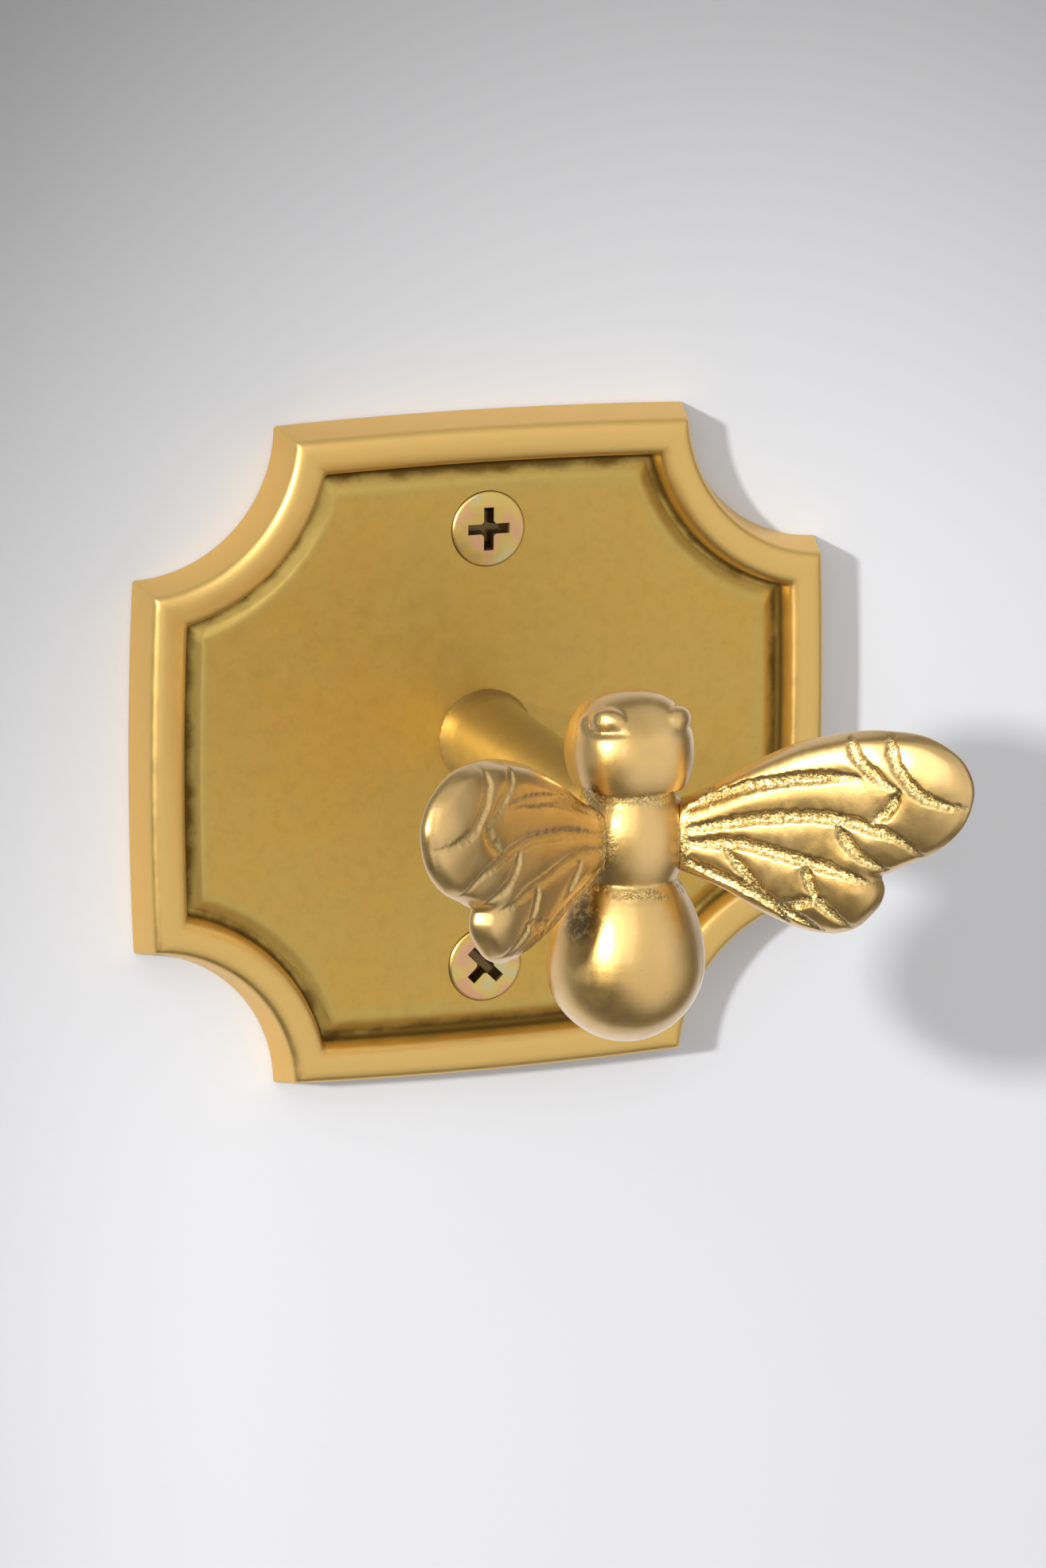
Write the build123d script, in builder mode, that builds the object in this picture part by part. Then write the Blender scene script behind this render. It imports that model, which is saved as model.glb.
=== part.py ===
from build123d import *
from math import asin, atan2, cos, degrees, radians, sin, sqrt, tan
import os

# Bath hook: a cast brass backplate with concave corners and a cast brass bee on a round post.
# Millimetres. The wall is the plane y = 0, the front faces -Y and +Z is up.
# The origin lies on the wall, midway between the two wall screws.

# Backplate
plate_width = 76.0
plate_height = 70.5
plate_thickness = 5.1
side_bow = 0.5
notch_radius = 15.3
wall_inset = 1.2
rim_width = 3.7
rim_outer_round = 0.9
rim_inner_chamfer = 0.5
recess_inset = 0.5
recess_corner_round = 1.2
field_thickness = 2.8
groove_width = 1.6
groove_depth = 0.6

# Wall screws
screw_spacing = 47.0
screw_diameter = 4.2
screw_neck_diameter = 3.4
screw_head_diameter = 8.0
screw_head_land = 0.3
screw_head_chamfer = 0.2
screw_length = 32.0
screw_point_length = 6.0
screw_point_diameter = 0.6
cross_width = 4.7
cross_arm = 0.9
cross_depth = 1.6
upper_cross_angle = 0.0
lower_cross_angle = 45.0
countersink_angle = 90.0
screw_hole_clearance = 0.3
head_seat_clearance = 0.05

# Post screw
post_screw_diameter = 5.0
post_screw_head_diameter = 9.2
post_screw_head_land = 0.3
post_screw_length = 14.0
post_screw_sink = 0.1
post_screw_tip_chamfer = 0.5
socket_width = 3.0
socket_depth = 1.4
tapped_clearance = 0.05
tapped_run_out = 3.0
tapped_mouth = 0.6

# Post
post_rise = 1.1
post_foot_diameter = 10.6
post_foot_flare = 2.5
post_root_diameter = 9.2
post_tip_diameter = 6.8

# Bee, whose upright axis stands this far from the wall
bee_reach = 44.3
abdomen_middle = -12.6
abdomen_radius = 7.8
waist_height = -3.9
waist_radius = 5.2
thorax_radius = 5.7
thorax_shoulder = 1.0
neck_height = 5.7
head_middle = 9.2
head_radius = 6.2
eye_radius = 1.9
eye_spread = 3.1
eye_forward = 2.9
eye_rise = 2.9
face_dish_radius = 12.0
face_dish_depth = 0.5

# Wings, drawn flat from the bee's axis outward and raised away from the wall
wing_dihedral = 38.0
wing_thickness = 2.6
wing_edge_round = 1.2
wing_back_chamfer = 0.5
wing_notch_round = 0.5
wing_root_top = (4.0, 3.1)
forewing_lead = (13.4, 9.2)
forewing_top = (27.5, 13.0)
forewing_tip = (34.9, 7.5)
forewing_trail = (31.3, 1.0)
wing_notch = (25.5, -1.9)
hindwing_tip = (25.4, -4.9)
hindwing_low = (22.4, -7.8)
hindwing_trail = (17.0, -7.9)
wing_root_low = (4.0, -1.9)
vein_width = 1.0
vein_depth = 0.45
veins = [
    [(8.0, 3.7), (15.5, 7.0), (23.7, 8.4)],
    [(7.0, 2.0), (19.0, 4.1), (28.6, 1.6)],
    [(7.0, 0.5), (15.5, 0.1), (23.3, -1.5)],
    [(7.2, -1.2), (11.6, -3.1), (15.0, -5.3)],
    [(23.0, 10.6), (24.6, 9.1), (27.2, 7.6)],
    [(27.8, 7.2), (26.6, 5.6), (25.2, 4.1)],
    [(27.0, 11.3), (29.0, 8.1), (33.0, 6.1)],
    [(21.8, 3.4), (23.1, 1.6), (25.0, 0.0)],
    [(10.3, 0.2), (13.3, -3.6), (16.6, -6.0)],
    [(18.5, -0.4), (19.5, -3.6), (21.3, -5.9)],
    [(15.6, -5.3), (17.6, -4.8), (19.8, -3.9)],
]

# Places worked out from the sizes above
half_width = plate_width / 2
half_height = plate_height / 2
recess_floor = field_thickness - groove_depth
wall_draft = degrees(atan2(wall_inset, plate_thickness))
recess_draft = degrees(atan2(recess_inset, plate_thickness - recess_floor))
groove_draft = degrees(atan2(groove_width, groove_depth))
sink_slope = tan(radians(countersink_angle / 2))
wing_direction = Vector(cos(radians(wing_dihedral)), -sin(radians(wing_dihedral)), 0)
wing_normal = Vector(-sin(radians(wing_dihedral)), -cos(radians(wing_dihedral)), 0)
wing_plane = Plane((0, -bee_reach, 0), x_dir=wing_direction, z_dir=wing_normal)
post_foot = Plane((0, -field_thickness, post_rise), z_dir=(0, 1, 0))

os.makedirs("parts", exist_ok=True)

# The plate's outline: bowed sides that meet a concave quarter circle at each corner.
with BuildSketch(Plane.XZ) as plate_outline:
    with BuildLine():
        top = (0, half_height + side_bow)
        top_corner = (half_width - notch_radius, half_height)
        side_corner = (half_width, half_height - notch_radius)
        side = (half_width + side_bow, 0)
        TangentArc(top, top_corner, tangent=(1, 0))
        RadiusArc(top_corner, side_corner, -notch_radius)
        TangentArc(side, side_corner, tangent=(0, 1))
        mirror(about=Plane.YZ)
        mirror(about=Plane.XZ)
    make_face()

# The raised field inside the rim, whose sloping walls leave a groove along the foot of the recess.
with BuildPart() as field:
    with BuildSketch(Plane.XZ.offset(recess_floor)):
        add(plate_outline.sketch_local)
        offset(amount=-wall_inset - rim_width - recess_inset, kind=Kind.INTERSECTION)
    extrude(amount=groove_depth)
    slopes = field.faces() - field.faces().filter_by(Plane.XZ)
    draft(slopes, Plane.XZ.offset(recess_floor), groove_draft)

with BuildPart() as backplate:
    # Drafted slab with a recess inside its rim.
    extrude(plate_outline.sketch, amount=plate_thickness)
    walls = backplate.faces() - backplate.faces().filter_by(Plane.XZ)
    draft(walls, Plane.XZ, wall_draft)
    with BuildSketch(Plane.XZ.offset(plate_thickness)) as recess_outline:
        add(plate_outline.sketch_local)
        offset(amount=-wall_inset - rim_width, kind=Kind.INTERSECTION)
        fillet(recess_outline.vertices(), radius=recess_corner_round)
    extrude(amount=recess_floor - plate_thickness, taper=recess_draft, mode=Mode.SUBTRACT)
    add(field.part)
    rim = backplate.faces().sort_by(Axis.Y)[0]
    chamfer(rim.inner_wires().edges(), length=rim_inner_chamfer)
    rim = backplate.faces().filter_by(Plane.XZ).sort_by(Axis.Y)[0]
    fillet(rim.outer_wire().edges(), radius=rim_outer_round)
    with Locations(Plane.XZ.offset(field_thickness)):
        with GridLocations(0, screw_spacing, 1, 2):
            CounterSinkHole(
                screw_diameter / 2 + screw_hole_clearance,
                screw_head_diameter / 2 + head_seat_clearance,
                counter_sink_angle=countersink_angle,
            )
    with Locations(Plane((0, 0, post_rise), z_dir=(0, 1, 0))):
        post_screw_mouth = (post_screw_sink + post_screw_head_land) * sink_slope
        CounterSinkHole(
            post_screw_diameter / 2 + screw_hole_clearance,
            post_screw_head_diameter / 2 + head_seat_clearance + post_screw_mouth,
            counter_sink_angle=countersink_angle,
        )
backplate.part.label = "backplate"
export_step(backplate.part, "parts/backplate.step")

# The right wing: fore lobe and hind lobe in one outline, with rounded edges and veins carved in its top.
with BuildPart() as wing:
    with BuildSketch(wing_plane) as wing_outline:
        with BuildLine():
            lead = ThreePointArc(wing_root_top, forewing_lead, forewing_top)
            tip = TangentArc(forewing_top, forewing_tip, tangent=lead % 1)
            trail = TangentArc(forewing_tip, forewing_trail, tangent=tip % 1)
            TangentArc(forewing_trail, wing_notch, tangent=trail % 1)
            hind = ThreePointArc(wing_notch, hindwing_tip, hindwing_low)
            hind_trail = TangentArc(hindwing_low, hindwing_trail, tangent=hind % 1)
            TangentArc(hindwing_trail, wing_root_low, tangent=hind_trail % 1)
            Line(wing_root_low, wing_root_top)
        make_face()
        fillet(wing_outline.vertices().sort_by_distance(wing_notch)[0], radius=wing_notch_round)
    extrude(amount=-wing_thickness)
    through_wing = Axis((0, 0, 0), wing_normal)
    top_edges = wing.faces().sort_by(through_wing)[-1].edges()
    fillet(top_edges.filter_by(GeomType.CIRCLE), radius=wing_edge_round)
    back_edges = wing.faces().sort_by(through_wing)[0].edges()
    chamfer(back_edges.filter_by(GeomType.CIRCLE), length=wing_back_chamfer)
    with BuildSketch(wing_plane):
        for vein in veins:
            with BuildLine():
                ThreePointArc(*vein)
            trace(line_width=vein_width)
    extrude(amount=-vein_depth, mode=Mode.SUBTRACT)

with BuildPart() as bee_hook:
    # Abdomen, thorax and head turned about the bee's upright axis.
    with BuildSketch(Plane.XZ.offset(bee_reach)):
        with BuildLine():
            waist = (waist_radius, waist_height)
            neck_angle = -degrees(asin((head_middle - neck_height) / head_radius))
            tail = CenterArc((0, abdomen_middle), abdomen_radius, start_angle=-90, arc_size=90)
            TangentArc(tail @ 1, waist, tangent=(0, 1))
            head = CenterArc((0, head_middle), head_radius, start_angle=neck_angle, arc_size=90 - neck_angle)
            Polyline(
                waist,
                (thorax_radius, waist_height + thorax_shoulder),
                (thorax_radius, neck_height - thorax_shoulder),
                head @ 0,
            )
            Line(head @ 1, tail @ 0)
        make_face()
    revolve(axis=Axis((0, -bee_reach, 0), (0, 0, 1)))
    # A shallow dish in the face, between two eyes.
    dish_distance = (head_radius - face_dish_depth + face_dish_radius) / sqrt(2)
    with Locations((0, -bee_reach - dish_distance, head_middle + dish_distance)):
        Sphere(face_dish_radius, mode=Mode.SUBTRACT)
    eye_y = -bee_reach - eye_forward
    eye_z = head_middle + eye_rise
    with Locations((-eye_spread, eye_y, eye_z), (eye_spread, eye_y, eye_z)):
        Sphere(eye_radius)
    # Tapering post with a flared foot that stands on the plate's field.
    with BuildSketch(Plane.XY.offset(post_rise)):
        with BuildLine():
            foot = (post_foot_diameter / 2, -field_thickness)
            root = (post_root_diameter / 2, -field_thickness - post_foot_flare)
            tip = (post_tip_diameter / 2, -bee_reach)
            Polyline((0, -bee_reach), tip, root)
            TangentArc(root, foot, tangent=(0, 1))
            Polyline(foot, (0, -field_thickness), (0, -bee_reach))
        make_face()
    revolve(axis=Axis((0, 0, post_rise), (0, 1, 0)))
    add(wing.part)
    mirror(wing.part, about=Plane.YZ)
    with Locations(post_foot):
        tapped_radius = post_screw_diameter / 2 + tapped_clearance
        CounterSinkHole(
            tapped_radius,
            tapped_radius + tapped_mouth,
            depth=post_screw_length - field_thickness + tapped_run_out,
            counter_sink_angle=countersink_angle,
        )
bee_hook.part.label = "bee_hook"
export_step(bee_hook.part, "parts/bee_hook.step")

# Countersunk wood screws: a low land stands proud of the field above the cone, and a plain neck
# runs through the plate to the wall, where the full shank starts.
with BuildPart() as wall_screws:
    head_top = field_thickness + screw_head_land
    cone_depth = (screw_head_diameter - screw_neck_diameter) / 2 / sink_slope
    upper_screw = (screw_spacing / 2, upper_cross_angle)
    lower_screw = (-screw_spacing / 2, lower_cross_angle)
    for screw_z, cross_angle in (upper_screw, lower_screw):
        with BuildSketch(Plane.XY.offset(screw_z)):
            with BuildLine():
                Polyline(
                    (0, -head_top),
                    (screw_head_diameter / 2 - screw_head_chamfer, -head_top),
                    (screw_head_diameter / 2, screw_head_chamfer - head_top),
                    (screw_head_diameter / 2, -field_thickness),
                    (screw_neck_diameter / 2, cone_depth - field_thickness),
                    (screw_neck_diameter / 2, 0),
                    (screw_diameter / 2, 0),
                    (screw_diameter / 2, screw_length - head_top - screw_point_length),
                    (screw_point_diameter / 2, screw_length - head_top),
                    (0, screw_length - head_top),
                    close=True,
                )
            make_face()
        revolve(axis=Axis((0, 0, screw_z), (0, 1, 0)))
        with BuildSketch(Plane.XZ.offset(head_top)):
            with Locations((0, screw_z)):
                Rectangle(cross_width, cross_arm, rotation=cross_angle)
                Rectangle(cross_arm, cross_width, rotation=cross_angle)
        extrude(amount=-cross_depth, mode=Mode.SUBTRACT)
wall_screws.part.label = "wall_screws"
export_step(wall_screws.part, "parts/wall_screws.step")

# Countersunk machine screw that draws the post onto the plate from behind.
with BuildPart() as post_screw:
    with BuildSketch(Plane.XY.offset(post_rise)):
        with BuildLine():
            head_radius_back = post_screw_head_diameter / 2
            land_front = post_screw_sink + post_screw_head_land
            shank_radius = post_screw_diameter / 2
            cone_front = land_front + (head_radius_back - shank_radius) / sink_slope
            Polyline(
                (0, -post_screw_sink),
                (head_radius_back, -post_screw_sink),
                (head_radius_back, -land_front),
                (shank_radius, -cone_front),
                (shank_radius, post_screw_tip_chamfer - post_screw_length),
                (shank_radius - post_screw_tip_chamfer, -post_screw_length),
                (0, -post_screw_length),
                close=True,
            )
        make_face()
    revolve(axis=Axis((0, 0, post_rise), (0, 1, 0)))
    with BuildSketch(Plane.XZ.offset(post_screw_sink)):
        with Locations((0, post_rise)):
            RegularPolygon(socket_width / 2, side_count=6, major_radius=False)
    extrude(amount=socket_depth, mode=Mode.SUBTRACT)
post_screw.part.label = "post_screw"
export_step(post_screw.part, "parts/post_screw.step")
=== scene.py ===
from math import asin, cos, hypot, pi, radians, sin

import bmesh
import bpy
import numpy as np
from mathutils import Euler, Matrix, Vector, kdtree, noise


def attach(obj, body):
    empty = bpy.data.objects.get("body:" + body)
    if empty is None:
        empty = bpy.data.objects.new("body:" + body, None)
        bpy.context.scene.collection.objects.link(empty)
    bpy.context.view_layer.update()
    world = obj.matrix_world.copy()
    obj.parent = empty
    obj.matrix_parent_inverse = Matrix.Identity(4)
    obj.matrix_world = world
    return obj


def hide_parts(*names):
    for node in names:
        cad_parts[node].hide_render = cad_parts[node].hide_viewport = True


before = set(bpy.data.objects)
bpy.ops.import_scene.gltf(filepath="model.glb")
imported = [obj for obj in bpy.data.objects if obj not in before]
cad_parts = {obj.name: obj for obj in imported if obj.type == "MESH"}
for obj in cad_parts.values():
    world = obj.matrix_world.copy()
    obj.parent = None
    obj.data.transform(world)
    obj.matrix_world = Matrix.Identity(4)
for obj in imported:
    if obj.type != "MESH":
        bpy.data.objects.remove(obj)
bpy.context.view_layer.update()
bpy.ops.object.select_all(action="DESELECT")

# Backplate: a flat brass casting with gently bowed sides and a concave quarter circle at each corner.
# A rounded rim stands round a sunk field, with a nearly black band along the rim's foot.
# Two countersunk holes take the wall screws, and a third, from behind, the screw that holds the post.
mm = 0.001
plate_width = 76.0 * mm
plate_height = 70.5 * mm
side_bow = 0.5 * mm
notch_radius = 15.3 * mm
field_height = 2.8 * mm
screw_spacing = 47.0 * mm
post_rise = 1.1 * mm
half_width = plate_width / 2
half_height = plate_height / 2

# The rim's section, as steps in from the outline and up from the wall, in millimetres.
rim_section = [
    (0.95, 4.05), (1.08, 4.45), (1.35, 4.80), (1.80, 5.02), (2.40, 5.09), (3.10, 5.10), (3.80, 5.06),
    (4.30, 4.92), (4.65, 4.66), (4.82, 4.30), (5.10, 3.00), (5.20, 2.60), (5.34, 2.34), (5.55, 2.22),
    (5.85, 2.24), (6.60, 2.55), (7.00, 2.72), (7.35, 2.79), (7.80, 2.80),
]


def pick(piece, kind, wanted):
    """Selects, in edit mode, only those verts, edges or faces of the piece that the test wants."""
    bpy.ops.mesh.select_all(action="DESELECT")
    bpy.ops.mesh.select_mode(type={"verts": "VERT", "edges": "EDGE", "faces": "FACE"}[kind])
    shape = bmesh.from_edit_mesh(piece.data)
    for item in getattr(shape, kind):
        item.select_set(wanted(item))
    shape.select_flush_mode()
    bmesh.update_edit_mesh(piece.data)


def apply_modifier(piece, kind, **settings):
    """Adds one modifier to the piece and applies it."""
    bpy.context.view_layer.objects.active = piece
    modifier = piece.modifiers.new(kind.lower(), kind)
    for name, value in settings.items():
        setattr(modifier, name, value)
    bpy.ops.object.modifier_apply(modifier=modifier.name)


def select_only(*pieces):
    """Selects these pieces alone, and makes the last of them active."""
    bpy.ops.object.select_all(action="DESELECT")
    for piece in pieces:
        piece.select_set(True)
    bpy.context.view_layer.objects.active = pieces[-1]


def close_up(piece, merge=0.0):
    """Merges verts nearer than a distance, fills the piece's holes and turns its faces outwards."""
    bpy.context.view_layer.objects.active = piece
    bpy.ops.object.mode_set(mode="EDIT")
    bpy.ops.mesh.select_all(action="SELECT")
    if merge:
        bpy.ops.mesh.remove_doubles(threshold=merge)
    bpy.ops.mesh.fill_holes(sides=0)
    bpy.ops.mesh.normals_make_consistent(inside=False)
    bpy.ops.object.mode_set(mode="OBJECT")


def cut_away(piece, cutter):
    """Takes the cutter's volume out of the piece and removes the cutter."""
    apply_modifier(piece, "BOOLEAN", operation="DIFFERENCE", solver="EXACT", object=cutter)
    bpy.data.objects.remove(cutter, do_unlink=True)


def turned(name, x, z, rings, sides=64):
    """A closed turned piece on a level axis through x and z, with a ring at each (y, radius)."""
    y, radius = rings[0]
    bpy.ops.object.select_all(action="DESELECT")
    bpy.ops.mesh.primitive_circle_add(
        vertices=sides, radius=radius, fill_type="NGON", location=(x, y, z), rotation=(pi / 2, 0, 0)
    )
    piece = bpy.context.object
    piece.name = name
    bpy.ops.object.mode_set(mode="EDIT")
    for next_y, next_radius in rings[1:]:
        bpy.ops.mesh.extrude_region_move(TRANSFORM_OT_translate={"value": (0, next_y - y, 0)})
        ratio = next_radius / radius
        bpy.ops.transform.resize(value=(ratio, 1, ratio), center_override=(x, next_y, z))
        y, radius = next_y, next_radius
    bpy.ops.object.mode_set(mode="OBJECT")
    close_up(piece)
    bpy.ops.object.transform_apply(location=True, rotation=True, scale=True)
    return piece


def strip_of(name, rows):
    """A strip of mesh through rows of places, each as long as the others."""
    bpy.ops.mesh.primitive_grid_add(x_subdivisions=len(rows[0]) - 1, y_subdivisions=len(rows) - 1, size=1)
    strip = bpy.context.object
    strip.name = name
    places = [place for row in rows for place in row]
    for vert, place in zip(strip.data.vertices, places):
        vert.co = place
    return strip


straight_top = half_width - notch_radius
straight_side = half_height - notch_radius


def outline(inset):
    """The plate's outline moved in by a distance, as points once round from the middle of its top."""
    reach = notch_radius + inset
    top_end, side_end = straight_top, straight_side
    # The places where the bowed sides meet the notch settle in a few rounds.
    for _ in range(8):
        top_drop = inset - side_bow * (1 - (top_end / straight_top) ** 2)
        side_drop = inset - side_bow * (1 - (side_end / straight_side) ** 2)
        top_end = half_width - (reach**2 - top_drop**2) ** 0.5
        side_end = half_height - (reach**2 - side_drop**2) ** 0.5
    quarter = []
    for x in np.linspace(0, top_end, 17):
        quarter.append((x, half_height - inset + side_bow * (1 - (x / straight_top) ** 2)))
    for angle in np.linspace(asin(top_drop / reach), pi / 2 - asin(side_drop / reach), 25)[1:-1]:
        quarter.append((half_width - reach * cos(angle), half_height - reach * sin(angle)))
    for z in np.linspace(side_end, 0, 17):
        quarter.append((half_width - inset + side_bow * (1 - (z / straight_side) ** 2), z))
    half = quarter + [(x, -z) for x, z in reversed(quarter[:-1])]
    return half + [(-x, z) for x, z in reversed(half[:-1])]


# A strip of mesh is wrapped round the outline, one row for each step of the section, and then capped.
edge_round = 0.3 * mm
touching = 0.001 * mm
plate_rows = []
for inset, height in [(0.0, 0.0)] + rim_section:
    plate_rows.append([(x, -height * mm, z) for x, z in outline(inset * mm)])
plate = strip_of("backplate_casting", plate_rows)
close_up(plate, touching)
apply_modifier(
    plate,
    "BEVEL",
    width=edge_round,
    segments=3,
    limit_method="ANGLE",
    angle_limit=radians(40),
    use_clamp_overlap=True,
)

# Each hole is cut from its wide end through the cone to past the other face, as (y, radius).
wall_hole = [(-field_height - 0.05 * mm, 4.10 * mm), (-1.15 * mm, 2.4 * mm), (0.5 * mm, 2.4 * mm)]
for screw_z in (screw_spacing / 2, -screw_spacing / 2):
    cut_away(plate, turned("wall_hole", 0, screw_z, wall_hole))
post_hole = [(0.1 * mm, 5.15 * mm), (-2.25 * mm, 2.8 * mm), (-4.0 * mm, 2.8 * mm)]
cut_away(plate, turned("post_hole", 0, post_rise, post_hole))
select_only(plate)
bpy.ops.object.shade_smooth_by_angle(angle=radians(42))
apply_modifier(plate, "WEIGHTED_NORMAL", keep_sharp=True)


class Finish:
    """A node material for one finish, with short ways to add and join its nodes."""

    def __init__(self, name, metallic=1.0):
        self.material = bpy.data.materials.new(name)
        self.material.use_nodes = True
        self.nodes = self.material.node_tree.nodes
        self.links = self.material.node_tree.links
        self.shader = self.nodes["Principled BSDF"]
        self.shader.inputs["Metallic"].default_value = metallic
        self.place = self.nodes.new("ShaderNodeTexCoord").outputs["Object"]

    def put(self, socket, value):
        """Joins an output to a socket, or sets a plain value on it."""
        if isinstance(value, bpy.types.NodeSocket):
            self.links.new(value, socket)
        else:
            socket.default_value = value

    def along(self, axis):
        """The place on one axis."""
        node = self.nodes.new("ShaderNodeSeparateXYZ")
        self.links.new(self.place, node.inputs[0])
        return node.outputs[axis]

    def carried(self, name):
        """The value that the mesh carries at each point under a name."""
        node = self.nodes.new("ShaderNodeAttribute")
        node.attribute_name = name
        return node.outputs["Fac"]

    def maths(self, operation, *values):
        """One step of reckoning on values or outputs."""
        node = self.nodes.new("ShaderNodeMath")
        node.operation = operation
        for socket, value in zip(node.inputs, values):
            self.put(socket, value)
        return node.outputs[0]

    def times(self, first, second):
        """Two values or outputs multiplied."""
        return self.maths("MULTIPLY", first, second)

    def length(self, aside, rise):
        """How far away a point is that lies so far aside and so far up."""
        return self.maths("SQRT", self.maths("ADD", self.times(aside, aside), self.times(rise, rise)))

    def ramp(self, value, low, high, low_out=0.0, high_out=1.0):
        """Maps a value smoothly from one range to another."""
        node = self.nodes.new("ShaderNodeMapRange")
        node.interpolation_type = "SMOOTHSTEP"
        for socket, number in zip(node.inputs[:5], (value, low, high, low_out, high_out)):
            self.put(socket, number)
        return node.outputs[0]

    def speckle(self, size, detail=3.0, rough=0.55, distortion=0.0, squeeze=(1, 1, 1)):
        """Noise whose blotches are about the given size across, or longer where an axis is squeezed."""
        squeezed = self.nodes.new("ShaderNodeVectorMath")
        squeezed.operation = "MULTIPLY"
        self.links.new(self.place, squeezed.inputs[0])
        squeezed.inputs[1].default_value = squeeze
        node = self.nodes.new("ShaderNodeTexNoise")
        self.links.new(squeezed.outputs["Vector"], node.inputs["Vector"])
        node.inputs["Scale"].default_value = 1 / size
        node.inputs["Detail"].default_value = detail
        node.inputs["Roughness"].default_value = rough
        node.inputs["Distortion"].default_value = distortion
        return node.outputs["Fac"]

    def blend(self, share, first, second):
        """Mixes two colours."""
        node = self.nodes.new("ShaderNodeMix")
        node.data_type = "RGBA"
        self.put(node.inputs[0], share)
        self.put(node.inputs[6], first)
        self.put(node.inputs[7], second)
        return node.outputs[2]

    def bump(self, height, strength, distance, normal=None):
        """Relief from a height, laid over any relief that comes before it."""
        node = self.nodes.new("ShaderNodeBump")
        self.put(node.inputs["Height"], height)
        self.put(node.inputs["Strength"], strength)
        self.put(node.inputs["Distance"], distance)
        if normal:
            self.put(node.inputs["Normal"], normal)
        return node.outputs["Normal"]

    def cover(self, piece):
        """Makes this the piece's only material."""
        piece.data.materials.clear()
        piece.data.materials.append(self.material)


# Satin cast brass, browner and duller in the sunk field, and nearly black in a band along the rim's foot.
# The back is only sanded flat.
rim_brass = (0.82, 0.54, 0.175, 1)
field_brass = (0.65, 0.41, 0.095, 1)
field_olive = (0.59, 0.43, 0.128, 1)
near_black_brown = (0.15, 0.082, 0.014, 1)
olive_in_clouds = 0.45
olive_in_groove = 0.75
dark_on_foot = 0.92
grime_in_mottle = 0.09
grime_in_scores = 0.16
duller_field = 0.06
duller_foot = 0.25

brass = Finish("plate_satin_brass")
to_side = brass.maths("SUBTRACT", half_width, brass.maths("ABSOLUTE", brass.along("X")))
to_end = brass.maths("SUBTRACT", half_height, brass.maths("ABSOLUTE", brass.along("Z")))
to_notch = brass.maths("SUBTRACT", brass.length(to_side, to_end), notch_radius)
from_edge = brass.maths("MINIMUM", brass.maths("MINIMUM", to_side, to_end), to_notch)
raggedness = brass.speckle(3.0 * mm, detail=5)
ragged_edge = brass.maths("ADD", from_edge, brass.ramp(raggedness, 0.3, 0.7, -0.3 * mm, 0.3 * mm))
height_out = brass.times(brass.along("Y"), -1.0)
inside = brass.ramp(from_edge, 4.0 * mm, 4.6 * mm)
off_back = brass.ramp(height_out, 0.4 * mm, 1.4 * mm)
low = brass.times(off_back, brass.ramp(height_out, 3.6 * mm, 2.75 * mm))
in_foot = brass.times(inside, low)
# A nearly black band along the rim's foot.
foot_line = brass.times(in_foot, brass.ramp(ragged_edge, 6.3 * mm, 5.1 * mm))
groove_band = brass.times(in_foot, brass.ramp(ragged_edge, 8.6 * mm, 7.0 * mm))
below_rim = brass.ramp(height_out, 4.4 * mm, 3.2 * mm)
field = brass.times(brass.times(inside, off_back), below_rim)
cloud = brass.ramp(brass.speckle(11.0 * mm, detail=6, rough=0.65), 0.35, 0.68)
tone = brass.blend(brass.times(cloud, olive_in_clouds), field_brass, field_olive)
tone = brass.blend(brass.times(groove_band, olive_in_groove), tone, field_olive)
tone = brass.blend(field, rim_brass, tone)
tone = brass.blend(brass.times(foot_line, dark_on_foot), tone, near_black_brown)
mottle = brass.ramp(brass.speckle(1.5 * mm, detail=4, rough=0.7), 0.42, 0.72)
tone = brass.blend(brass.times(mottle, brass.times(field, grime_in_mottle)), tone, near_black_brown)
sanded = brass.ramp(height_out, 0.4 * mm, 0.1 * mm)
marks = brass.speckle(0.22 * mm, detail=3, squeeze=(0.012, 1, 1))
scored = brass.times(sanded, brass.ramp(marks, 0.45, 0.65, 0.0, grime_in_scores))
tone = brass.blend(scored, tone, near_black_brown)
brass.put(brass.shader.inputs["Base Color"], tone)
dullness = brass.ramp(brass.speckle(2.2 * mm, detail=5), 0.3, 0.7, 0.37, 0.44)
dullness = brass.maths("ADD", dullness, brass.times(field, duller_field))
dullness = brass.maths("ADD", dullness, brass.times(foot_line, duller_foot))
brass.put(brass.shader.inputs["Roughness"], dullness)
waves = brass.bump(brass.speckle(6.0 * mm, detail=2), 0.35, 0.12 * mm)
grain = brass.bump(brass.speckle(0.28 * mm, detail=2), 0.12, 0.03 * mm, waves)
brass.put(brass.shader.inputs["Normal"], brass.bump(marks, sanded, 0.04 * mm, grain))
brass.cover(plate)
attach(plate, "root")
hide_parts("backplate")

# Bee and post: one brass casting, lost-wax, with the bee's body across the end of a tapering post.
# Two wings stand out level from the thorax, raised from the wall, their veins carved by hand with a
# narrow gouge. The high parts are rubbed bright and lacquered; the gouge marks and collars stay sandy.
bee_reach = 44.3 * mm
dihedral = radians(38)
wing_thickness = 1.9 * mm
wing_edge_round = 0.9 * mm
wing_crown = 1.9 * mm
casting_grain = 0.22 * mm

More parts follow.
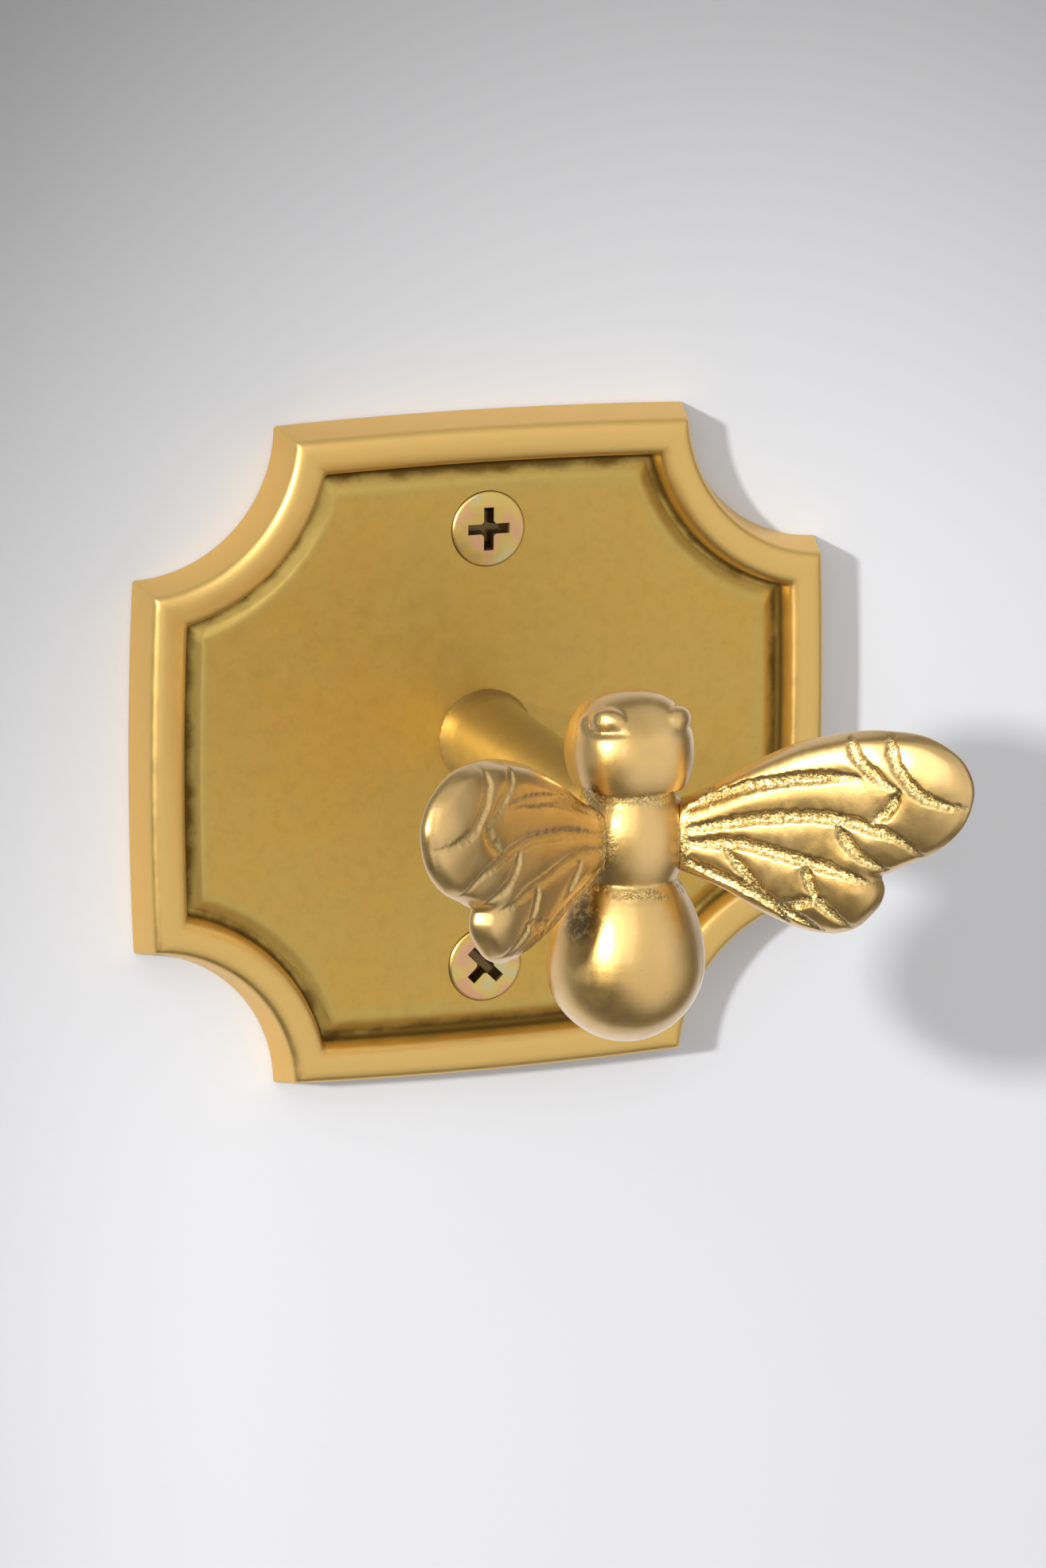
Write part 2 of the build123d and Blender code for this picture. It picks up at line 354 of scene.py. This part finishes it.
# The abdomen's upper half is drawn up to the waist, so it is pear-shaped.
abdomen_radius = 8.0 * mm
abdomen_height = -12.5 * mm
abdomen_draw = 1.4
bpy.ops.mesh.primitive_uv_sphere_add(
    segments=72, ring_count=36, radius=abdomen_radius, location=(-0.2 * mm, -bee_reach, abdomen_height)
)
abdomen = bpy.context.object
bpy.ops.object.mode_set(mode="EDIT")
pick(abdomen, "verts", lambda vert: vert.co.z > 0)
bpy.ops.transform.resize(value=(1, 1, abdomen_draw), center_override=(0, -bee_reach, abdomen_height))
bpy.ops.object.mode_set(mode="OBJECT")

thorax_size = (5.75 * mm, 5.75 * mm, 7.6 * mm)
bpy.ops.mesh.primitive_uv_sphere_add(
    segments=72, ring_count=36, radius=1, location=(0, -bee_reach, 0.5 * mm), scale=thorax_size
)
thorax = bpy.context.object
bpy.ops.mesh.primitive_cylinder_add(
    vertices=72, radius=4.8 * mm, depth=6.0 * mm, location=(0, -bee_reach, 5.0 * mm)
)
neck = bpy.context.object

# The head is a ball pressed a little towards a cube, narrower below, and cut flat at the neck.
head_height = 9.2 * mm
head_radius = 6.2 * mm
head_foot = 5.9 * mm
squareness = 2.4
bpy.ops.mesh.primitive_uv_sphere_add(
    segments=72, ring_count=36, radius=head_radius, location=(0, -bee_reach, head_height)
)
head = bpy.context.object
bpy.ops.object.transform_apply(location=False, rotation=True, scale=True)
for vert in head.data.vertices:
    share = (vert.co / head_radius).normalized()
    squared = sum(abs(part) ** squareness for part in share) ** (-1 / squareness)
    tapered = 1 - 0.06 * max(0.0, -share.z)
    vert.co = share * head_radius * squared
    vert.co.x *= 1.01 * tapered
    vert.co.y *= tapered
bpy.ops.object.transform_apply(location=True, rotation=True, scale=True)
bpy.ops.object.mode_set(mode="EDIT")
bpy.ops.mesh.select_all(action="SELECT")
bpy.ops.mesh.bisect(plane_co=(0, 0, head_foot), plane_no=(0, 0, -1), clear_outer=True, use_fill=True)
bpy.ops.object.mode_set(mode="OBJECT")
eyes = []
eye_places = []
eye_size = Vector((2.2 * mm, 1.45 * mm, 1.45 * mm))
for side, eye_across, eye_rise in ((-1, 3.3 * mm, 3.9 * mm), (1, 3.5 * mm, 3.6 * mm)):
    eye_turn = Euler((radians(45), 0, side * radians(35)))
    eye_middle = Vector((side * eye_across, -bee_reach - 3.2 * mm, head_height + eye_rise))
    bpy.ops.mesh.primitive_uv_sphere_add(
        segments=40, ring_count=20, radius=1.0, location=eye_middle, rotation=eye_turn, scale=eye_size
    )
    eyes.append(bpy.context.object)
    eye_places.append((eye_middle, eye_turn.to_matrix().transposed()))

post_rings = [
    (-field_height, 5.3 * mm),
    (-3.15 * mm, 5.1 * mm),
    (-3.9 * mm, 4.82 * mm),
    (-5.3 * mm, 4.6 * mm),
    (-bee_reach, 3.4 * mm),
]
post = turned("post", 0, post_rise, post_rings)

# The right wing's outline, in millimetres out from the bee's axis and up, drawn as one smooth curve.
wing_outline = [
    (3.0, 3.4), (8.0, 5.9), (13.4, 9.3), (19.7, 11.9), (26.2, 12.95), (31.6, 11.95), (34.6, 8.9), (34.6, 5.6),
    (32.3, 1.9), (27.8, -0.8), (25.6, -1.9), (26.0, -3.5), (24.6, -6.1), (22.3, -7.85), (18.7, -8.15),
    (14.1, -6.9), (9.5, -4.6), (3.0, -2.4),
]
wing_corners = (0, 10, 17)


def drawn(curve, points, corners=(), closed=False):
    """Adds a smooth spline through the points, in millimetres, with the named points left sharp."""
    spline = curve.splines.new("BEZIER")
    spline.bezier_points.add(len(points) - 1)
    for index, (point, (across, up)) in enumerate(zip(spline.bezier_points, points)):
        point.co = (across * mm, up * mm, 0)
        sharp = "VECTOR" if index in corners else "AUTO"
        point.handle_left_type = sharp
        point.handle_right_type = sharp
    spline.use_cyclic_u = closed


def traced(points, corners=(), closed=False):
    """Places set close together along the smooth line through the points."""
    bpy.ops.curve.primitive_bezier_curve_add()
    line = bpy.context.object
    line.data.splines.clear()
    drawn(line.data, points, corners, closed)
    line.data.resolution_u = 48
    bpy.ops.object.convert(target="MESH")
    places = [vert.co.copy() for vert in line.data.vertices]
    bpy.data.objects.remove(line, do_unlink=True)
    return places


def searchable(places):
    """A tree that finds the nearest of the places."""
    tree = kdtree.KDTree(len(places))
    for index, place in enumerate(places):
        tree.insert(place, index)
    tree.balance()
    return tree


bpy.ops.curve.primitive_bezier_curve_add()
wing = bpy.context.object
wing.data.splines.clear()
drawn(wing.data, wing_outline, wing_corners, closed=True)
wing.data.dimensions = "2D"
wing.data.fill_mode = "BOTH"
wing.data.resolution_u = 8
wing.data.bevel_depth = wing_edge_round
wing.data.bevel_resolution = 4
wing.data.offset = -wing_edge_round
wing.data.extrude = wing_thickness / 2 - wing_edge_round
bpy.ops.object.convert(target="MESH")
out = Vector((cos(dihedral), -sin(dihedral), 0))
up = Vector((0, 0, 1))
wing_face = out.cross(up)
wing_place = Vector((0, -bee_reach, 0)) - wing_face * (wing_thickness / 2 + wing_crown / 2)
wing.matrix_world = Matrix.Translation(wing_place) @ Matrix((out, up, wing_face)).transposed().to_4x4()
select_only(wing)
bpy.ops.object.transform_apply(location=True, rotation=True, scale=True)
bpy.ops.object.duplicate()
other_wing = bpy.context.object
bpy.ops.transform.mirror(constraint_axis=(True, False, False), center_override=(0, 0, 0))
bpy.ops.object.transform_apply(location=True, rotation=True, scale=True)
for piece in (wing, other_wing):
    bpy.context.view_layer.objects.active = piece
    bpy.ops.object.mode_set(mode="EDIT")
    bpy.ops.mesh.select_all(action="SELECT")
    bpy.ops.mesh.remove_doubles(threshold=0.01 * mm)
    bpy.ops.mesh.normals_make_consistent(inside=False)
    bpy.ops.object.mode_set(mode="OBJECT")

select_only(abdomen, thorax, neck, *eyes, post, wing, other_wing, head)
bpy.ops.object.join()
bee = bpy.context.object
bee.name = "bee_casting"
bpy.ops.object.transform_apply(location=True, rotation=True, scale=True)
bee.data.remesh_voxel_size = casting_grain
bpy.ops.object.voxel_remesh()
apply_modifier(bee, "SMOOTH", factor=0.5, iterations=5)

# The veins: long ones from the root outward, and short ones that cross the cells between them.
veins = [
    [(6.6, 3.9), (12.3, 6.6), (17.2, 7.8), (20.8, 8.4), (23.9, 8.5)],
    [(6.6, 1.9), (12.3, 3.3), (17.3, 4.1), (21.6, 4.2), (25.2, 3.5), (27.7, 2.6), (30.3, 0.6)],
    [(6.6, 0.5), (11.9, 0.8), (16.5, 0.0), (21.0, -0.9), (25.4, -2.4)],
    [(6.6, -1.5), (9.7, -2.6), (12.4, -3.6), (14.7, -4.9), (16.7, -7.0)],
    [(22.5, 12.1), (24.2, 9.8), (27.4, 7.6)],
    [(27.8, 7.2), (26.8, 5.5), (25.2, 4.1)],
    [(26.5, 12.7), (27.3, 10.5), (28.7, 8.3), (31.0, 6.7), (34.3, 5.9)],
    [(21.8, 3.4), (23.2, 1.3), (26.6, -0.8)],
    [(10.3, 0.2), (12.6, -2.4), (14.9, -4.8), (17.0, -5.8), (20.1, -7.6)],
    [(18.5, -0.4), (18.9, -2.6), (19.8, -4.1), (21.1, -5.4), (22.8, -7.0)],
    [(15.6, -5.3), (17.6, -4.8), (19.8, -3.9)],
]
gouge_width = 0.64 * mm
gouge_depth = 0.42 * mm
vein_shoulder = 0.12 * mm
vein_places = []
vein_taper = []
for vein in veins:
    stroke = traced(vein)
    for step, place in enumerate(stroke):
        along = step / (len(stroke) - 1)
        vein_places.append(place)
        vein_taper.append(min(1.0, 0.55 + along * 3, 0.35 + (1 - along) * 2.2))
vein_line = searchable(vein_places)
free_edge = [place for place in traced(wing_outline, wing_corners, closed=True) if place.x > 3.1 * mm]
wing_edge = searchable(free_edge)


def smooth(value, low, high):
    """Goes smoothly from 0 at the one value to 1 at the other."""
    share = min(max((value - low) / (high - low), 0.0), 1.0)
    return share * share * (3 - 2 * share)


sandy = np.zeros(len(bee.data.vertices))
shaded = np.zeros(len(bee.data.vertices))
filed = np.zeros(len(bee.data.vertices))
collars = ((5.0 * mm, 1.1 * mm), (-4.2 * mm, 0.8 * mm))
face_axis = Vector((0, -1, 1)).normalized()
crease_depth = 0.32 * mm
face_dish = 0.7 * mm
face_dish_radius = 2.8 * mm
left_wing_wear = 0.45
# Each point is placed by how far it lies out along the wing and above the wing's face.
for index, vert in enumerate(bee.data.vertices):
    x, y, z = vert.co
    side = 1 if x > 0 else -1
    forward = y + bee_reach
    across = abs(x) * cos(dihedral) - forward * sin(dihedral)
    above = -abs(x) * sin(dihedral) - forward * cos(dihedral)
    rough = 0.0
    beside_body = -4.0 * mm < z < 5.6 * mm or across > 8.6 * mm
    if across > 4.8 * mm and -2.0 * mm < above < 0.3 * mm and beside_body:
        flat = Vector((across, z, 0))
        upper = smooth(above, -1.6 * mm, -0.9 * mm)
        top = upper * smooth(across, 4.8 * mm, 5.5 * mm)
        from_rim = wing_edge.find(flat)[2]
        dome_edge = 3.6 * mm + 3.0 * mm * smooth(across, 23 * mm, 31 * mm)
        domed = min(1.0, from_rim / dome_edge)
        lift = wing_crown * top * (1 - (1 - domed) ** 2) ** 0.5
        droop = 0.010 * min(0.0, z / mm) ** 2 + 0.004 * max(0.0, across / mm - 22) ** 2
        lift -= droop * mm * top
        lift = max(0.0, lift - max(0.0, above + wing_crown / 2))
        wander = 0.16 * mm * noise.noise(flat / (0.9 * mm))
        wander += 0.10 * mm * noise.noise(flat / (0.35 * mm))
        near, nearest, away = vein_line.find(flat)
        lift -= vein_shoulder * top * np.exp(-((away / (1.1 * mm)) ** 2))
        width = gouge_width * vein_taper[nearest]
        share = max(0.0, away + wander) / width
        bite = smooth(share, 1.05, 0.65) * upper
        worn = left_wing_wear if side < 0 else 1.0
        cut = gouge_depth * vein_taper[nearest] * bite * worn
        rough = smooth(share, 1.1, 0.85) * upper * worn**2
        # Painted shadow along the upper wall of each vein groove.
        if z > near.y:
            shaded[index] = smooth(share, 0.55, 0.8) * smooth(share, 1.15, 0.9) * top * worn
        vert.co += Vector((-side * sin(dihedral), -cos(dihedral), 0)) * (lift - cut)
    filed[index] = smooth(across, 7.5 * mm, 9.5 * mm) * smooth(above, -2.0 * mm, -2.6 * mm)
    from_axis = hypot(x, forward)
    if from_axis < 9.0 * mm and y < -36 * mm:
        for collar, reach in collars:
            uneven = 0.5 * mm * noise.noise(vert.co / (1.1 * mm))
            band = 1 - smooth(abs(z - collar + uneven), 0.4 * reach, reach)
            patchy = smooth(noise.noise(vert.co / (2.6 * mm)), -0.5, 0.1)
            rough = max(rough, band * patchy)
        root = 1 - smooth(abs(across - 6.2 * mm), 0.2 * mm, 1.1 * mm)
        root *= 1 - smooth(abs(z), 3.6 * mm, 4.6 * mm)
        rough = max(rough, 0.9 * root * smooth(above, -2.5 * mm, -1.0 * mm))
        from_head = Vector((x, forward, z - head_height))
        for eye_middle, eye_frame in eye_places:
            from_eye = eye_frame @ (vert.co - eye_middle)
            share = hypot(from_eye.x / eye_size.x, from_eye.y / eye_size.y, from_eye.z / eye_size.z)
            crease = smooth(share, 0.85, 1.1) * (1 - smooth(share, 1.1, 1.6))
            crease *= 1 if eye_middle.x < 0 else 0.3
            under = smooth(-from_eye.y / eye_size.y + 0.6 * side * from_eye.x / eye_size.x, 0.0, 0.8)
            vert.co -= from_head.normalized() * crease_depth * crease * under
            rough = max(rough, 0.35 * crease * under)
        off_face = (from_head - face_axis * from_head.dot(face_axis)).length
        facing = smooth(from_head.dot(face_axis), 2.0 * mm, 5.0 * mm)
        vert.co -= face_axis * face_dish * facing * np.exp(-((off_face / face_dish_radius) ** 2))
    sandy[index] = rough
bee.data.update()
for name, values in (("sandy", sandy), ("shaded", shaded), ("filed", filed)):
    bee.data.attributes.new(name, "FLOAT", "POINT").data.foreach_set("value", values)

# Sandy places are crumbly, and the whole casting waves a little under the polisher's hand.
crumb_height = 0.09 * mm
wave_height = 0.07 * mm
outward = [vert.normal.copy() for vert in bee.data.vertices]
for index, vert in enumerate(bee.data.vertices):
    crumb = noise.noise(vert.co / (0.45 * mm)) * sandy[index] * crumb_height
    wave = noise.noise(vert.co / (5.5 * mm)) * wave_height
    vert.co += outward[index] * (crumb + wave)
bee.data.update()
tapped_radius = 2.55 * mm
tapped_hole = [(-1.0 * mm, tapped_radius), (-17.0 * mm, tapped_radius)]
cut_away(bee, turned("tapped_hole", 0, post_rise, tapped_hole))
select_only(bee)
bpy.ops.object.shade_smooth()

# Bright satin brass under clear lacquer on the rubbed parts; gritty brown in the gouge marks, the
# collars and the wing roots; painted shade on top of the post, under the left wing, at the head's foot and
# along the upper wall of each vein groove; file marks on the backs of the wings.
bright_brass = (0.87, 0.575, 0.21, 1)
warm_brass = (0.79, 0.50, 0.15, 1)
gritty_brass = (0.36, 0.22, 0.055, 1)
pale_grain = (0.92, 0.74, 0.30, 1)
post_brass = (0.90, 0.75, 0.38, 1)
pit_and_shade_brown = (0.14, 0.08, 0.02, 1)
grit_cover = 0.9
vein_shade = 0.5
dust_cover = 0.30
painted_post_shade = 0.8
shade_patch_cover = 0.85
file_strength = 0.45

bee_finish = Finish("bee_satin_brass")
sandiness = bee_finish.carried("sandy")
drift = bee_finish.ramp(bee_finish.speckle(7.0 * mm, detail=4), 0.35, 0.65)
tone = bee_finish.blend(drift, bright_brass, warm_brass)
on_post = bee_finish.ramp(bee_finish.along("Y"), -bee_reach + 4 * mm, -bee_reach + 10 * mm)
tone = bee_finish.blend(on_post, tone, post_brass)
# Painted shade darkens the top of the post.
post_top_shade = bee_finish.ramp(bee_finish.along("Z"), post_rise - 1 * mm, post_rise + 3.5 * mm, 0.0, painted_post_shade)
tone = bee_finish.blend(bee_finish.times(on_post, post_top_shade), tone, pit_and_shade_brown)
shade_breakup = bee_finish.ramp(bee_finish.speckle(0.7 * mm, detail=4, rough=0.7), 0.36, 0.54)
# Painted shade: one dark patch under the left wing and one at the head's foot, by their places from the bee's
# middle.
shade_patches = (((-5.4, -2.9, -7.2), 3.3 * mm), ((-4.6, -2.8, 6.2), 1.7 * mm))
for (shade_x, shade_y, shade_z), shade_size in shade_patches:
    from_shade_patch = bee_finish.nodes.new("ShaderNodeVectorMath")
    from_shade_patch.operation = "DISTANCE"
    bee_finish.links.new(bee_finish.place, from_shade_patch.inputs[0])
    from_shade_patch.inputs[1].default_value = (shade_x * mm, shade_y * mm - bee_reach, shade_z * mm)
    fading = bee_finish.ramp(from_shade_patch.outputs["Value"], shade_size, 0.4 * shade_size, 0.0, shade_patch_cover)
    tone = bee_finish.blend(bee_finish.times(shade_breakup, fading), tone, pit_and_shade_brown)
glitter = bee_finish.ramp(bee_finish.speckle(0.24 * mm, detail=3, rough=0.6), 0.40, 0.62)
gravel = bee_finish.blend(glitter, gritty_brass, pale_grain)
tone = bee_finish.blend(bee_finish.times(sandiness, grit_cover), tone, gravel)
shade_line = bee_finish.times(bee_finish.carried("shaded"), vein_shade)
tone = bee_finish.blend(shade_line, tone, pit_and_shade_brown)
dust = bee_finish.ramp(bee_finish.speckle(0.55 * mm, detail=2), 0.70, 0.78)
tone = bee_finish.blend(bee_finish.times(dust, dust_cover), tone, pit_and_shade_brown)
bee_finish.put(bee_finish.shader.inputs["Base Color"], tone)
bee_finish.shader.inputs["Coat Weight"].default_value = 1.0
bee_finish.shader.inputs["Coat Roughness"].default_value = 0.14
bee_finish.shader.inputs["Coat IOR"].default_value = 1.6
dullness = bee_finish.ramp(bee_finish.speckle(1.6 * mm, detail=5), 0.3, 0.7, 0.32, 0.40)
dullness = bee_finish.maths("ADD", dullness, bee_finish.times(on_post, 0.1))
dullness = bee_finish.maths("SUBTRACT", dullness, bee_finish.times(sandiness, 0.08))
bee_finish.put(bee_finish.shader.inputs["Roughness"], dullness)
skin = bee_finish.bump(bee_finish.speckle(0.22 * mm, detail=3), 0.25, 0.03 * mm)
grains = bee_finish.speckle(0.24 * mm, detail=3, rough=0.6)
sand = bee_finish.bump(grains, sandiness, 0.14 * mm, skin)
file_marks = bee_finish.times(bee_finish.carried("filed"), file_strength)
strokes = bee_finish.speckle(0.18 * mm, detail=3, squeeze=(1, 1, 0.03))
bee_finish.put(bee_finish.shader.inputs["Normal"], bee_finish.bump(strokes, file_marks, 0.05 * mm, sand))
bee_finish.cover(bee)
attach(bee, "root")
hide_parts("bee_hook")

# Wall screws: two countersunk steel wood screws with a cross recess, plated in yellow zinc.
# Their heads stand a little proud of the field, and their threads go into the wall.
head_top = -3.1 * mm
shank_end = 22.9 * mm
screw_tip = 28.9 * mm
thread_pitch = 1.8 * mm
upper_z = screw_spacing / 2
screw_rings = [
    (head_top, 3.70 * mm),
    (-3.06 * mm, 3.86 * mm),
    (-2.96 * mm, 3.97 * mm),
    (-2.82 * mm, 4.0 * mm),
    (-0.5 * mm, 1.7 * mm),
    (0.3 * mm, 1.6 * mm),
    (1.2 * mm, 1.45 * mm),
    (shank_end, 1.45 * mm),
    (screw_tip, 0.2 * mm),
]
upper_screw = turned("upper_wall_screw", 0, upper_z, screw_rings, sides=48)

# The cross recess is two arms that narrow downwards, opened in the middle by a four-sided cone.
cross_arm = 5.9 * mm
cross_width = 1.4 * mm
cross_depth = 1.6 * mm
cross_narrowing = 0.55
for arm_x, arm_z in ((cross_arm, cross_width), (cross_width, cross_arm)):
    bpy.ops.mesh.primitive_cube_add(
        size=1, location=(0, head_top, upper_z), scale=(arm_x, 2 * cross_depth, arm_z)
    )
    driver = bpy.context.object
    bpy.ops.object.mode_set(mode="EDIT")
    pick(driver, "faces", lambda face: face.normal.y > 0.9)
    bpy.ops.transform.resize(
        value=(cross_narrowing, 1, cross_narrowing), center_override=(0, head_top + cross_depth, upper_z)
    )
    bpy.ops.object.mode_set(mode="OBJECT")
    cut_away(upper_screw, driver)
bpy.ops.mesh.primitive_cone_add(
    vertices=4,
    radius1=2.3 * mm,
    radius2=0.4 * mm,
    depth=2 * cross_depth,
    location=(0, head_top, upper_z),
    rotation=(-pi / 2, 0, 0),
)
cut_away(upper_screw, bpy.context.object)

# The thread is a sharp ridge swept up a helix, drawn in to the point at its end.
thread_ridge = ((1.35, 0.0), (2.1, 0.35), (1.35, 0.7))
thread_start = 0.6 * mm
thread_turns = 15
steps_per_turn = 28
bpy.ops.object.select_all(action="DESELECT")
bpy.ops.mesh.primitive_circle_add(vertices=3, radius=1.0)
thread = bpy.context.object
for vert, (out_from_axis, along_axis) in zip(thread.data.vertices, thread_ridge):
    vert.co = (out_from_axis * mm, along_axis * mm, 0)
apply_modifier(
    thread,
    "SCREW",
    axis="Y",
    screw_offset=thread_pitch,
    iterations=thread_turns,
    steps=steps_per_turn,
    render_steps=steps_per_turn,
    use_merge_vertices=False,
)
for vert in thread.data.vertices:
    vert.co.y += thread_start
    drawn_in = min(1.0, max(0.1, (screw_tip - vert.co.y) / (screw_tip - shank_end)))
    vert.co = (vert.co.x * drawn_in, vert.co.y, vert.co.z * drawn_in + upper_z)
close_up(thread)
select_only(thread, upper_screw)
bpy.ops.object.join()
bpy.ops.object.shade_smooth_by_angle(angle=radians(35))

# Yellow zinc shimmers from straw through gold to rose, and the recess is darkened with painted shade.
zinc_straw = (0.66, 0.56, 0.28, 1)
zinc_gold = (0.76, 0.54, 0.16, 1)
zinc_rose = (0.78, 0.45, 0.25, 1)
painted_recess_shade = (0.12, 0.075, 0.035, 1)
recess_shade_cover = 0.9
screw_finish = Finish("yellow_zinc")
patch = screw_finish.speckle(3.2 * mm, detail=1, distortion=0.4)
tone = screw_finish.blend(screw_finish.ramp(patch, 0.32, 0.50), zinc_straw, zinc_gold)
tone = screw_finish.blend(screw_finish.ramp(patch, 0.48, 0.62), tone, zinc_rose)
below_face = screw_finish.ramp(screw_finish.along("Y"), -3.08 * mm, -2.7 * mm)
above_cone = screw_finish.ramp(screw_finish.along("Y"), -0.9 * mm, -1.2 * mm)
in_recess = screw_finish.times(below_face, above_cone)
# Painted shade darkens the cross recess.
tone = screw_finish.blend(screw_finish.times(in_recess, recess_shade_cover), tone, painted_recess_shade)
screw_finish.put(screw_finish.shader.inputs["Base Color"], tone)
screw_finish.put(screw_finish.shader.inputs["Roughness"], screw_finish.ramp(patch, 0.3, 0.7, 0.28, 0.42))
screw_finish.cover(upper_screw)

# The lower screw is the same, turned on its axis by an eighth of a turn.
lower_screw = upper_screw.copy()
lower_screw.data = upper_screw.data.copy()
lower_screw.name = "lower_wall_screw"
bpy.context.scene.collection.objects.link(lower_screw)
to_axis = Matrix.Translation((0, 0, -upper_z))
lower_screw.data.transform(to_axis @ Matrix.Rotation(radians(45), 4, "Y") @ to_axis)
for screw in (upper_screw, lower_screw):
    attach(screw, "root")
    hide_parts("wall_screws")

# Post screw: a countersunk steel machine screw from behind, in plain zinc, that draws the post on.
# Its own solid is shown as it is, with a finish.
zinc_light = (0.62, 0.63, 0.64, 1)
zinc_dark = (0.48, 0.49, 0.51, 1)
zinc = Finish("plain_zinc")
spangle = zinc.speckle(1.2 * mm, detail=3)
tone = zinc.blend(zinc.ramp(spangle, 0.35, 0.65), zinc_light, zinc_dark)
zinc.put(zinc.shader.inputs["Base Color"], tone)
zinc.put(zinc.shader.inputs["Roughness"], zinc.ramp(spangle, 0.3, 0.7, 0.30, 0.45))
zinc.cover(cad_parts["post_screw"])

# Setting: a pale plastered wall behind the plate, a small bright lamp from the left and a soft room.
# The wall is open behind the plate, and from behind it lets the view through.
wall_lap = 0.25 * mm
wall_spread = 80
wall_edge = outline(wall_lap)
wall = strip_of("wall", [[(x * far, 0, z * far) for x, z in wall_edge] for far in (1, wall_spread)])
bpy.ops.object.mode_set(mode="EDIT")
bpy.ops.mesh.select_all(action="SELECT")
bpy.ops.mesh.remove_doubles(threshold=touching)
if wall.data.polygons[0].normal.y > 0:
    bpy.ops.mesh.flip_normals()
bpy.ops.object.mode_set(mode="OBJECT")

# Painted light: the plaster's colour darkens away from a bright pool to the right of the hook and below it.
painted_lit_plaster = (0.72, 0.72, 0.74, 1)
painted_dim_plaster = (0.15, 0.15, 0.15, 1)
plaster = Finish("pale_plaster", metallic=0.0)
plaster.shader.inputs["Roughness"].default_value = 0.9
plaster.shader.inputs["Specular IOR Level"].default_value = 0.1
aside = plaster.maths("SUBTRACT", plaster.along("X"), 0.03)
rise = plaster.maths("ADD", plaster.along("Z"), 0.07)
above_or_below = plaster.maths("MAXIMUM", plaster.times(rise, 0.8), plaster.times(rise, -0.36))
from_painted_light = plaster.length(aside, above_or_below)
tone = plaster.blend(plaster.ramp(from_painted_light, 0.055, 0.17), painted_lit_plaster, painted_dim_plaster)
plaster.put(plaster.shader.inputs["Base Color"], tone)
behind = plaster.nodes.new("ShaderNodeNewGeometry").outputs["Backfacing"]
clear = plaster.nodes.new("ShaderNodeBsdfTransparent")
either = plaster.nodes.new("ShaderNodeMixShader")
plaster.links.new(behind, either.inputs[0])
plaster.links.new(plaster.shader.outputs[0], either.inputs[1])
plaster.links.new(clear.outputs[0], either.inputs[2])
plaster.links.new(either.outputs[0], plaster.nodes["Material Output"].inputs["Surface"])
plaster.cover(wall)

# The room glows white from the front right, from above, and from behind for the views of the back.
room = bpy.data.worlds.new("soft_room")
bpy.context.scene.world = room
room.use_nodes = True
room_nodes = room.node_tree.nodes
room_links = room.node_tree.links
room_nodes["Background"].inputs["Color"].default_value = (1.0, 1.0, 1.0, 1)
heading = room_nodes.new("ShaderNodeTexCoord")
parts = room_nodes.new("ShaderNodeSeparateXYZ")
room_links.new(heading.outputs["Generated"], parts.inputs[0])
front = room_nodes.new("ShaderNodeVectorMath")
front.operation = "DOT_PRODUCT"
room_links.new(heading.outputs["Generated"], front.inputs[0])
front.inputs[1].default_value = Vector((0.42, -0.90, -0.10)).normalized()
glows = (
    (front.outputs["Value"], (0.42, 0.97, 0.12, 0.82)),
    (parts.outputs["Z"], (0.2, 0.9, 0.0, 0.5)),
    (parts.outputs["Y"], (0.05, 0.9, 0.0, 0.8)),
)
glow = None
for heading_share, reach in glows:
    fade = room_nodes.new("ShaderNodeMapRange")
    fade.interpolation_type = "SMOOTHSTEP"
    room_links.new(heading_share, fade.inputs["Value"])
    for socket, value in zip(fade.inputs[1:5], reach):
        socket.default_value = value
    total = room_nodes.new("ShaderNodeMath")
    room_links.new(fade.outputs[0], total.inputs[0])
    if glow:
        room_links.new(glow, total.inputs[1])
    else:
        total.inputs[1].default_value = 0.0
    glow = total.outputs[0]
room_links.new(glow, room_nodes["Background"].inputs["Strength"])

# Each lamp's name, the direction that it stands in, its width and height in metres, and its watts.
lamp_distance = 1.2
lamps = (
    ("small_lamp", Vector((-1.3, -1.0, 0.42)), 0.07, 0.07, 11.9),
    ("soft_window", Vector((-0.68, -1.0, 0.55)), 1.25, 1.2, 5.1),
)
for lamp_name, direction, lamp_width, lamp_height, energy in lamps:
    direction.normalize()
    bpy.ops.object.light_add(type="AREA", location=direction * lamp_distance)
    lamp = bpy.context.object
    lamp.name = lamp_name
    lamp.data.shape = "RECTANGLE"
    lamp.data.size = lamp_width
    lamp.data.size_y = lamp_height
    lamp.data.energy = energy
    lamp.rotation_euler = direction.to_track_quat("Z", "Y").to_euler()
    lamp.visible_camera = False

# The camera stands a little to the left of the hook and looks slightly down on it.
turn, tilt, roll = radians(20.371), radians(13.805), radians(0.531)
looking = Vector((sin(turn) * cos(tilt), cos(turn) * cos(tilt), -sin(tilt)))
level = Vector((cos(turn), -sin(turn), 0))
upright = level.cross(looking)
right = level * cos(roll) + upright * sin(roll)
upward = upright * cos(roll) - level * sin(roll)
camera_distance = 757.754 * mm
stand = Vector((5.197, 0, -4.971)) * mm - looking * camera_distance
camera_data = bpy.data.cameras.new("camera")
camera_data.lens = 164.5
camera_data.sensor_width = 36
camera = bpy.data.objects.new("camera", camera_data)
bpy.context.scene.collection.objects.link(camera)
camera.matrix_world = Matrix.Translation(stand) @ Matrix((right, upward, -looking)).transposed().to_4x4()
bpy.context.scene.camera = camera
bpy.context.scene.view_settings.view_transform = "Standard"
